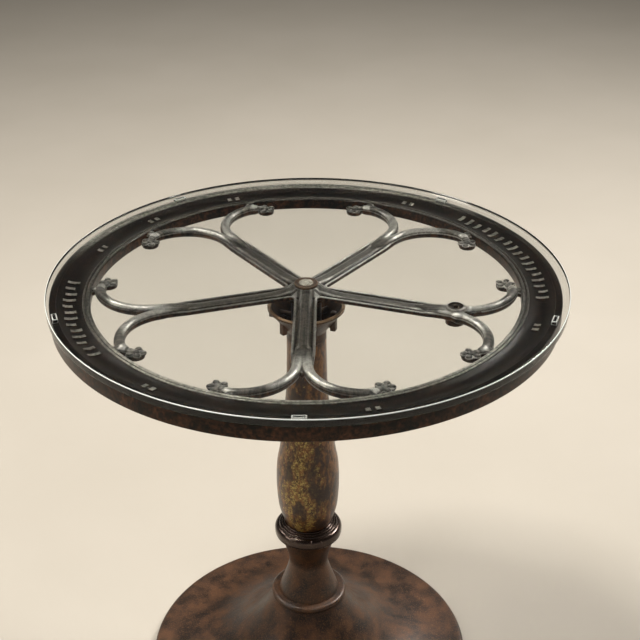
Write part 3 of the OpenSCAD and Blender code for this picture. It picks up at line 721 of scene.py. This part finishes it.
# In a group, long bars take turns with bars that are shorter at one end
marks = bmesh.new()
for start, count in MARK_GROUPS:
    for i in range(count):
        add_mark(marks, start + MARK_PITCH * i, 5 if i % 3 == 2 else 4, 10 if i % 3 == 1 else 12)
for angle in PAIR_ANGLES:
    for side in (-1, 1):
        add_mark(marks, angle + side * MARK_ANGLE, 6, 10)
bmesh.ops.recalc_face_normals(marks, faces=marks.faces)
make_piece("raised_marks", marks, [rim_iron], "worn_iron", "rim_marks", wear=mark_wear)


# THE WHEEL'S HUB AND ARMS
# Five forked arms are cast in one with the rim and the hub. An arm has a bead along each edge and
# a wide rib between them. It parts into two round branches, which curl back in front of the rim.

hub_low, hub_high = cad_mm("wheel_hub")
ARM_COUNT = 5
FRONT_ANGLE = -90
ARM_W = 36
ARM_DROP = 5.5
ARM_FLANGE_T = 7
ARM_WEB_H = 6
ARM_WEB_T = 12
ARM_COVE = 3
EDGE_BEAD_R = 2
RIB_HALF_W = 10
BRANCH_R = 8.5
BRANCH_Y = 7.5
BRANCH_BEND = 79
CURL_BEND = 34
CURL_GAP = 4
CURL_ANGLE = 61
STALK_R = 6.2
STALK_ANGLE = CURL_ANGLE - 22
STALK_COLLAR = 1.3
FLOWER_R = 14.6
PETALS = 5
PETAL_PLACE = (10.2, 0, 1.8)
PETAL_SIZE = (6.3, 5.4, 3.6)
PEARLS = 8
PEARL_PLACE = (3.2, 0, 4.2)
PEARL_R = 1.8
HUB_FILLET = 6
HUB_TOP_R = 21
HUB_CUT_X = 60

arm_step = 360 / ARM_COUNT
half_step = radians(arm_step / 2)
branch_z = crest_z - BRANCH_R
arm_z = crest_z - ARM_DROP
arm_under_z = arm_z - ARM_FLANGE_T
web_z = arm_under_z - ARM_WEB_H
cove_z = arm_z - ARM_COVE
hub_top_z = hub_high.z
curl_y = BRANCH_BEND + BRANCH_Y
curl_reach = rim_in_r - CURL_GAP - BRANCH_R - CURL_BEND
curl_x = sqrt(curl_reach ** 2 - curl_y ** 2)
split_x = curl_x + CURL_BEND - BRANCH_BEND
stub_angle = atan2(curl_y, curl_x)
flower_x = curl_x + CURL_BEND * cos(radians(CURL_ANGLE))
flower_y = curl_y + CURL_BEND * sin(radians(CURL_ANGLE))
fillet_y = ARM_W / 2 + HUB_FILLET
fillet_x = fillet_y / tan(half_step)


def add_swept_bar(bm, stations, sides=28):
    """A closed bar. A round face is extruded from station to station. A station has a centre, a
    heading in degrees, a half width and a half height."""
    places = [Matrix.Translation(centre) @ about_z(heading)
              @ Matrix.Rotation(pi / 2, 4, "Y") @ Matrix.Diagonal((tall, wide, 1, 1))
              for centre, heading, wide, tall in stations]
    verts = bmesh.ops.create_circle(bm, cap_ends=True, segments=sides, radius=1,
                                    matrix=places[0])["verts"]
    end = [verts[0].link_faces[0]]
    for before, after in zip(places, places[1:]):
        grown = bmesh.ops.extrude_face_region(bm, geom=end)["geom"]
        end = [f for f in grown if isinstance(f, BMFace)]
        bmesh.ops.transform(bm, matrix=after @ before.inverted(), verts=list(end[0].verts))


def bend(x, y, radius, start, end, steps, heading):
    """Centres and headings along a bend, counted by its angle in degrees."""
    angles = [start + (end - start) * i / steps for i in range(steps + 1)]
    return [((x + radius * cos(radians(a)), y + radius * sin(radians(a))), a + heading) for a in angles]


def add_flower(bm, x, y, turn):
    """A cast rosette: low rounded petals round a ring of pearls, on a thick round plate."""
    centre = Matrix.Translation((x, y, branch_z)) @ about_z(turn)
    add_round_bar(bm, centre @ Vector((0, 0, -5)), centre @ Vector((0, 0, 1.2)), FLOWER_R - 1, FLOWER_R)
    for petal in range(PETALS):
        place = about_z(360 / PETALS * petal) @ Matrix.LocRotScale(PETAL_PLACE, None, PETAL_SIZE)
        bmesh.ops.create_uvsphere(bm, u_segments=20, v_segments=12, radius=1, matrix=centre @ place)
    for pearl in range(PEARLS):
        place = about_z(360 / PEARLS * pearl) @ Matrix.Translation(PEARL_PLACE)
        bmesh.ops.create_uvsphere(bm, u_segments=12, v_segments=8, radius=PEARL_R, matrix=centre @ place)


def add_branch(bm, side):
    """One branch of the arm that points to +X: out of the arm, round the wide bend, and back in the
    curl to its stalk and flower."""
    stations = [((split_x - back, side * aside, crest_z - sink - tall), 0, wide, tall)
                for back, aside, sink, wide, tall in (
                    (48, 6.4, 5.6, 5.0, 2.6), (34, 6.8, 4.0, 6.2, 4.0), (22, 7.0, 2.2, 7.2, 5.6),
                    (11, 7.3, 0.8, 8.0, 7.4))]
    for (x, y), heading in bend(split_x, curl_y, BRANCH_BEND, -90, 0, 30, 90):
        stations.append(((x, side * y, branch_z), side * heading, BRANCH_R, BRANCH_R))
    for (x, y), heading in bend(curl_x, curl_y, CURL_BEND, 2, CURL_ANGLE, 30, 90):
        angle = heading - 90
        r = BRANCH_R + (STALK_R - BRANCH_R) * ramp(angle, STALK_ANGLE - 12, STALK_ANGLE + 2)
        if STALK_ANGLE + 5 < angle < STALK_ANGLE + 12:
            r = STALK_R + STALK_COLLAR
        stations.append(((x, side * y, branch_z), side * heading, r, r))
    add_swept_bar(bm, stations)
    add_flower(bm, flower_x, side * flower_y, side * 20)

    # The stub between the curl and the rim flares into the rim's wall
    out = Vector((cos(stub_angle), side * sin(stub_angle), 0))
    turn = side * stub_angle * 180 / pi
    rise = Vector((0, 0, branch_z))
    stub = ((curl_reach + CURL_BEND - 4, 7.6, 7), (rim_in_r - 4.5, 7.4, 6.8), (rim_in_r - 1.5, 9, 7.3),
            (rim_in_r + 1.5, 11.5, 7.6))
    add_swept_bar(bm, [(out * reach + rise, turn, wide, tall) for reach, wide, tall in stub])


def add_block(bm, low, high, plan):
    """A closed block along X between two heights. Its plan gives its width from place to place."""
    outline = [(x, wide / 2) for x, wide in plan] + [(x, -wide / 2) for x, wide in plan[::-1]]
    verts = [bm.verts.new((x, y, low)) for x, y in outline]
    foot = bm.faces.new(verts)
    grown = bmesh.ops.extrude_face_region(bm, geom=[foot], use_keep_orig=True)["geom"]
    raised = [v for v in grown if isinstance(v, BMVert)]
    bmesh.ops.translate(bm, vec=(0, 0, high - low), verts=raised)


def add_arm(bm):
    """The arm that points to +X: flange, rib, web and two branches. The rib comes down from the hub
    and swells again before the fork, where it ends as a thin web between the branches."""
    rib = ((12, 6.2, RIB_HALF_W, 4.5), (30, 4.2, RIB_HALF_W, 4.5), (46, 1.6, RIB_HALF_W, 4),
           (64, 0, RIB_HALF_W, 4), (split_x - 62, 0, RIB_HALF_W, 4), (split_x - 40, 1.2, 12, 4.6),
           (split_x - 24, 2.8, 12.5, 6), (split_x - 10, 3.6, 11, 7), (split_x - 2, 2.2, 7, 7),
           (split_x + 6, 0.6, 4, 6), (split_x + 16, -0.6, 2.4, 5.6), (split_x + 28, -1.6, 1.4, 5))
    add_swept_bar(bm, [((x, 0, arm_z + rise - tall), 0, wide, tall) for x, rise, wide, tall in rib])
    add_block(bm, arm_under_z, cove_z, (
        (0, ARM_W), (split_x - 36, ARM_W), (split_x - 14, ARM_W - 3), (split_x + 8, ARM_W - 7)))
    add_block(bm, web_z, arm_under_z + 2, (
        (0, ARM_WEB_T), (split_x - 10, ARM_WEB_T), (split_x + 6, ARM_WEB_T - 4)))
    for side in (-1, 1):
        add_branch(bm, side)


def add_edge_bead(bm):
    """The bead along the arm that points to +X, round the hub's fillet and out along the next arm.
    A thicker strip under it fills the corner."""
    for inset, wide, tall, z in ((EDGE_BEAD_R, EDGE_BEAD_R, EDGE_BEAD_R, arm_z - EDGE_BEAD_R),
                                 (2.6, 2.6, 2.6, (cove_z + arm_under_z) / 2 + 0.2)):
        side = ARM_W / 2 - inset
        out = [(split_x + 6, 4.0, 0.6), (split_x - 12, 2.0, 0.8), (split_x - 36, 0, 1.0),
               (split_x / 2, 0, 1.0)]
        stations = [((x, side - sink, z - sink * 0.3), 180, wide * size, tall * size)
                    for x, sink, size in out]
        for (x, y), heading in bend(fillet_x, fillet_y, HUB_FILLET + inset, -90, arm_step - 270, 14, -90):
            stations.append(((x, y, z), heading, wide, tall))
        for x, sink, size in out[::-1]:
            centre = about_z(arm_step) @ Vector((x, sink - side, z - sink * 0.3))
            stations.append((centre, arm_step, wide * size, tall * size))
        add_swept_bar(bm, stations, 20)


wheel = bmesh.new()
add_arm(wheel)
add_edge_bead(wheel)
bmesh.ops.transform(wheel, verts=wheel.verts, matrix=about_z(FRONT_ANGLE))
one_arm = wheel.verts[:] + wheel.edges[:] + wheel.faces[:]
for arm in range(1, ARM_COUNT):
    copied = bmesh.ops.duplicate(wheel, geom=one_arm)["geom"]
    bmesh.ops.transform(wheel, verts=[v for v in copied if isinstance(v, BMVert)],
                        matrix=about_z(arm_step * arm))

# The hub: a mound on a thick round core, and the boss that stands in the cup
core_r = ARM_W / 2 / sin(half_step) + HUB_FILLET / 2
add_round_bar(wheel, (0, 0, web_z), (0, 0, cove_z), core_r - 1, core_r, 96)
add_round_bar(wheel, (0, 0, cove_z - 1), (0, 0, hub_top_z), core_r, HUB_TOP_R, 96)
add_round_bar(wheel, (0, 0, hub_low.z), (0, 0, web_z + 1), HUB_BOSS_R, sides=96)

# The right arm's boss, and the branches' swellings on both sides of it
BOSS_R = 15
BOSS_H = 29
BOSS_HOLE_R = 4
BOSS_EDGE = 4
BOSS_FACE_T = 2
OVERRUN = 5
to_right_arm = about_z(FRONT_ANGLE + arm_step)
boss_top = to_right_arm @ Vector((split_x + 9, 3, crest_z + 3.5))
boss_foot = boss_top - Vector((0, 0, BOSS_H))
add_round_bar(wheel, boss_foot, boss_top, BOSS_R, sides=64)
for x, y, size in ((split_x + 27, 12, (9, 9.5, 9.5)), (split_x + 20, -11, (16, 9.8, 9.6))):
    bmesh.ops.create_uvsphere(wheel, u_segments=24, v_segments=16, radius=1, matrix=(
        to_right_arm @ Matrix.LocRotScale((x, y, branch_z), None, size)))
wheel = cast_in_one(wheel)


def cut_away(bm, cutter):
    """The first closed shape without what the second one holds."""
    blank = new_object("blank", bm)
    tool = new_object("tool", cutter)
    cut = blank.modifiers.new("cut", "BOOLEAN")
    cut.operation = "DIFFERENCE"
    cut.object = tool
    cut.solver = "EXACT"
    made = take_shape(blank)
    bpy.data.objects.remove(tool)
    return made


def halved(bm, point, outward):
    """Cuts off what lies outward of a plane, and closes the cut."""
    cut = bmesh.ops.bisect_plane(bm, geom=bm.verts[:] + bm.edges[:] + bm.faces[:], dist=0.0001,
                                 plane_co=point, plane_no=outward, clear_outer=True)["geom_cut"]
    rim = [e for e in cut if isinstance(e, BMEdge)]
    if rim:
        bmesh.ops.triangle_fill(bm, edges=rim, use_beauty=True)


def arm_wear_and_highlight(point):
    """Rubbed most on the branches' tops where they part, and on the flowers' stalks; the branches' silver
    is also a painted highlight, which fades toward the curls. The two arms on the right are brighter
    along their edges and ribs than the others, and each rib has a silver line along each shoulder:
    painted highlights."""
    reach = point.xy.length
    turn = (atan2(point.y, point.x) - radians(FRONT_ANGLE) + half_step) % (2 * half_step) - half_step
    x = reach * cos(turn)
    y = abs(reach * sin(turn))
    from_boss = (point - boss_top).xy.length
    if from_boss < BOSS_R + 1 and point.z > crest_z + 0.8:
        return 0.8 * ramp(from_boss, BOSS_R - BOSS_EDGE, BOSS_R - 2)
    if point.z > arm_z + 0.4 and reach > HUB_CUT_X:
        from_flower = hypot(x - flower_x, y - flower_y)
        stalk = ramp(from_flower, 14, 17) * (1 - ramp(from_flower, 24, 30))
        # The branches' silver is rubbing plus a painted highlight, which fades toward the curls
        branch = ramp(x, split_x - 30, split_x + 12) * (1 - 0.85 * ramp(reach, 297, 313))
        flower = 0.25 - 0.1 * ramp(from_flower, 13, 16)
        return max(flower, 0.85 * stalk, branch) * ramp(point.z, arm_z, arm_z + 3.5)
    edge = ramp(y, ARM_W / 2 - 2 * EDGE_BEAD_R - 1, ARM_W / 2 - 2 * EDGE_BEAD_R)
    # Painted highlight: the arms on the right get more silver along their edges and rib shoulders
    used = 0.35 + 0.65 * ramp(point.x / reach, 0.3, 0.5)
    shoulder_highlight = ramp(y, RIB_HALF_W - 5, RIB_HALF_W - 3) * (1 - ramp(y, RIB_HALF_W - 2, RIB_HALF_W))
    rib = used * (0.15 + 0.6 * shoulder_highlight)
    return max(rib, edge * used) * ramp(point.z, arm_z - 1.8, arm_z - 0.6)


# The one casting is cut where its nodes meet, in the roots of the arms
headings = [radians(FRONT_ANGLE + arm_step * arm) for arm in range(ARM_COUNT)]
beyond = Vector((0, 0, OVERRUN))
outward = [Vector((cos(a), sin(a), 0)) for a in headings]
arm_iron = new_material("worn waxed cast iron with painted highlights", waxed_iron, "#443f34", "#dcd9d3", 1.0)
ARM_NAMES = ("front", "right", "back_right", "back_left", "left")

for name, along, heading in zip(ARM_NAMES, outward, headings):
    arm = wheel.copy()
    halved(arm, along * HUB_CUT_X, -along)
    for side in (-1, 1):
        edge = heading + side * half_step
        halved(arm, (0, 0, 0), Vector((-sin(edge), cos(edge), 0)) * side)
    if name == "right":
        drill = bmesh.new()
        add_round_bar(drill, boss_foot - beyond, boss_top + beyond, BOSS_HOLE_R, sides=48)
        arm = cut_away(arm, drill)
        facing = bmesh.new()
        add_round_bar(facing, boss_top - Vector((0, 0, BOSS_FACE_T)), boss_top + beyond,
                      BOSS_R - BOSS_EDGE, BOSS_R - BOSS_EDGE + 2, 64)
        arm = cut_away(arm, facing)
    make_piece("cast_arm_" + name, arm, [arm_iron], "wheel_iron", "wheel_arm_" + name, wear=arm_wear_and_highlight)

for along in outward:
    halved(wheel, along * HUB_CUT_X, along)
bore = bmesh.new()
add_round_bar(bore, (0, 0, hub_low.z - OVERRUN), (0, 0, hub_top_z + OVERRUN), BORE_R, sides=64)
make_piece("cast_hub", cut_away(wheel, bore), [arm_iron], "wheel_iron", "wheel_hub", wear=arm_wear_and_highlight)


# THE PADS
# Five small blocks of clear soft vinyl lie on the rim's lip over the ends of the arms, and keep
# the glass off the iron. Their cut edges are milky, and their rounded edges and a band round each top
# are painted white as a highlight, where the edges catch the light.

pads_low, pads_high = cad_mm("glass_pads")
PAD_W = 21
PAD_D = 8.5
PAD_EDGE = 0.8
PAD_HIGHLIGHT_BAND = 1.7


def clear_vinyl(add, place):
    """Soft clear vinyl: see-through, with a slightly dull face."""
    cloud = add("TexNoise", {"Vector": place, "Scale": 1 / (3 * MM), "Detail": 2})
    rough = add("MapRange", {"Value": cloud, "To Min": 0.1, "To Max": 0.3})
    return add("BsdfPrincipled", {
        "Base Color": linear("#eef2ec"), "Roughness": rough, "IOR": 1.45, "Transmission Weight": 1})


def milky_edge_and_highlight(add, place):
    """The edges of clear vinyl: rough and white, partly the milky cut edge and partly a painted
    highlight.
    """
    cloud = add("TexNoise", {"Vector": place, "Scale": 1 / (2 * MM), "Detail": 2})
    colour = add("Mix", {FACTOR: cloud, FIRST: linear("#e0e2dc"), SECOND: linear("#ffffff")}, **RGBA)
    return add("BsdfPrincipled", {
        "Base Color": colour, "Roughness": 0.55, "Subsurface Weight": 0.3,
        "Subsurface Radius": (1 * MM, 1 * MM, 1 * MM)})


pads = bmesh.new()
pad_t = pads_high.z - pads_low.z
pad_place = Matrix.Translation((rim_r - LIP_W / 2, 0, lip_z + pad_t / 2))
for arm in range(ARM_COUNT):
    block = add_rounded_block(pads, (PAD_D, PAD_W, pad_t), PAD_EDGE, 2, edge_material=1)
    bmesh.ops.transform(pads, verts=block, matrix=about_z(FRONT_ANGLE + arm_step * arm) @ pad_place)
bmesh.ops.recalc_face_normals(pads, faces=pads.faces)
# A white band round each top is a painted highlight
tops = [f for f in pads.faces if f.normal.z > 0.99]
for face in bmesh.ops.inset_individual(pads, faces=tops, thickness=PAD_HIGHLIGHT_BAND)["faces"]:
    face.material_index = 1
vinyl = [new_material("clear vinyl", clear_vinyl), new_material("milky vinyl edge with painted highlight", milky_edge_and_highlight)]
make_piece("vinyl_pads", pads, vinyl, "clear_pad", "glass_pads")


# THE GLASS TOP
# A round plate of clear float glass, 12.7 mm thick. Its edge is ground flat and polished, with
# both corners rounded. It lies on the pads by its own weight, and lifts off.

glass_low, glass_high = cad_mm("glass_top")
GLASS_ARRIS = 1.5

glass_r = (glass_high.x - glass_low.x) / 2
glass_centre = (glass_low + glass_high) / 2


def float_glass(add, _):
    """Float glass, smooth as it comes: perfectly clear through its faces."""
    return add("BsdfPrincipled", {
        "Base Color": (1, 1, 1, 1), "Roughness": 0.0, "IOR": 1.52, "Transmission Weight": 1})


def green_glass(add):
    """The iron in the glass takes the red out of the light, so it is dark green along its faces."""
    return add("VolumeAbsorption", {"Color": linear("#a9cdb9"), "Density": 5.0})


def ground_corner_and_highlight(add, _):
    """The glass's ground upper corner: fine scratches scatter the light, and its pale colour adds a
    painted highlight, so it draws a pale line.
    """
    return add("BsdfPrincipled", {
        "Base Color": linear("#f4faf5"), "Roughness": 0.3, "IOR": 1.52, "Transmission Weight": 0.2})


plate = turned(
    [(0, glass_low.z)]
    + arc(glass_r - GLASS_ARRIS, glass_low.z + GLASS_ARRIS, GLASS_ARRIS, -90, 0, 6)
    + arc(glass_r - GLASS_ARRIS, glass_high.z - GLASS_ARRIS, GLASS_ARRIS, 0, 90, 6)
    + [(0, glass_high.z)], 400)
bmesh.ops.translate(plate, vec=(glass_centre.x, glass_centre.y, 0), verts=plate.verts)
glass = [new_material("float glass", float_glass, volume=green_glass),
         new_material("ground corner of float glass with painted highlight", ground_corner_and_highlight)]
glass_plate = make_piece("glass_plate", plate, glass, "glass", "glass_top", body="glass", sharp=50)

# The two faces are truly flat, so the light goes through them straight. The upper corner is ground, and
# painted pale as a highlight.
for side in glass_plate.data.polygons:
    side.use_smooth = abs(side.normal.z) < 0.999
    side.material_index = 1 if 0.1 < side.normal.z < 0.99 else 0


# FLOOR, LIGHT AND CAMERA
# A plain pale floor, and a studio that is pale at the horizon and dim overhead, with five soft
# lamps. The camera stands where the photo's did.

FLOOR_REACH = 16


def studio_floor(add, place):
    """Pale painted concrete: even, matt and faintly clouded."""
    cloud = add("TexNoise", {"Vector": place, "Scale": 2.5, "Detail": 4})
    colour = add("Mix", {FACTOR: cloud, FIRST: linear("#aba59a"), SECOND: linear("#b5afa5")}, **RGBA)
    return add("BsdfPrincipled", {"Base Color": colour, "Roughness": 0.9, "Specular IOR Level": 0.2})


ground = bmesh.new()
bmesh.ops.create_circle(ground, cap_ends=True, segments=96, radius=FLOOR_REACH)
floor = new_object("floor", ground)
floor.data.materials.append(new_material("pale studio floor", studio_floor))

world = bpy.data.worlds.new("studio")
bpy.context.scene.world = world
world.use_nodes = True
world.node_tree.nodes.clear()
add = partial(add_node, world.node_tree)
ray = add("SeparateXYZ", {0: add("TexCoord").outputs["Generated"]})
overhead = add("MapRange", {"Value": ray.outputs[2], "From Min": 0.2, "From Max": 0.36}, **SMOOTH)
shade = add("Mix", {FACTOR: overhead, FIRST: linear("#b9b4ab"), SECOND: linear("#262626")}, **RGBA)
light = add("Background", {"Color": shade, "Strength": 1})
add("OutputWorld", {"Surface": light})

TABLE_TOP = Vector((0, 0, 0.74))


def add_lamp(name, azimuth, elevation, distance, size, power, colour):
    """A soft rectangular lamp that points at the table's top. Its azimuth is in degrees to the
    right of straight behind the table."""
    side, up = radians(azimuth), radians(elevation)
    out = Vector((sin(side) * cos(up), cos(side) * cos(up), sin(up)))
    lamp = bpy.data.lights.new(name, "AREA")
    lamp.shape = "RECTANGLE"
    lamp.size, lamp.size_y = size
    lamp.energy = power
    lamp.color = linear(colour)[:3]
    holder = in_scene(name, lamp)
    holder.location = TABLE_TOP + out * distance
    holder.rotation_euler = out.to_track_quat("Z", "Y").to_euler()


add_lamp("skylight", -62, 70, 3.2, (0.9, 0.6), 120, "#fffaf2")
add_lamp("window_right", 46, 40, 3.4, (1.1, 0.8), 130, "#fffaf4")
add_lamp("window_left", -52, 44, 3.4, (1.1, 0.8), 40, "#fff8ee")
add_lamp("side_left", -105, 30, 3.0, (1.0, 0.7), 22, "#fff6ea")
add_lamp("front", 163, 50, 3.0, (0.5, 0.3), 13, "#ffffff")

LENS = 78.35
SENSOR_W = 36
CAMERA_TURN = 0.9495
PITCH_DOWN = 28.653
CAMERA_ROLL = -0.232
CAMERA_FROM_TOP = (0.02161, -0.0661, 2.1806)

camera_data = bpy.data.cameras.new("camera")
camera_data.lens = LENS
camera_data.sensor_width = SENSOR_W
camera = in_scene("camera", camera_data)
camera.matrix_world = (
    Matrix.Translation((0, 0, glass_high.z * MM)) @ about_z(CAMERA_TURN)
    @ Matrix.Rotation(radians(90 - PITCH_DOWN), 4, "X") @ Matrix.Translation(CAMERA_FROM_TOP)
    @ about_z(CAMERA_ROLL))
bpy.context.scene.camera = camera
bpy.context.scene.view_settings.view_transform = "Standard"
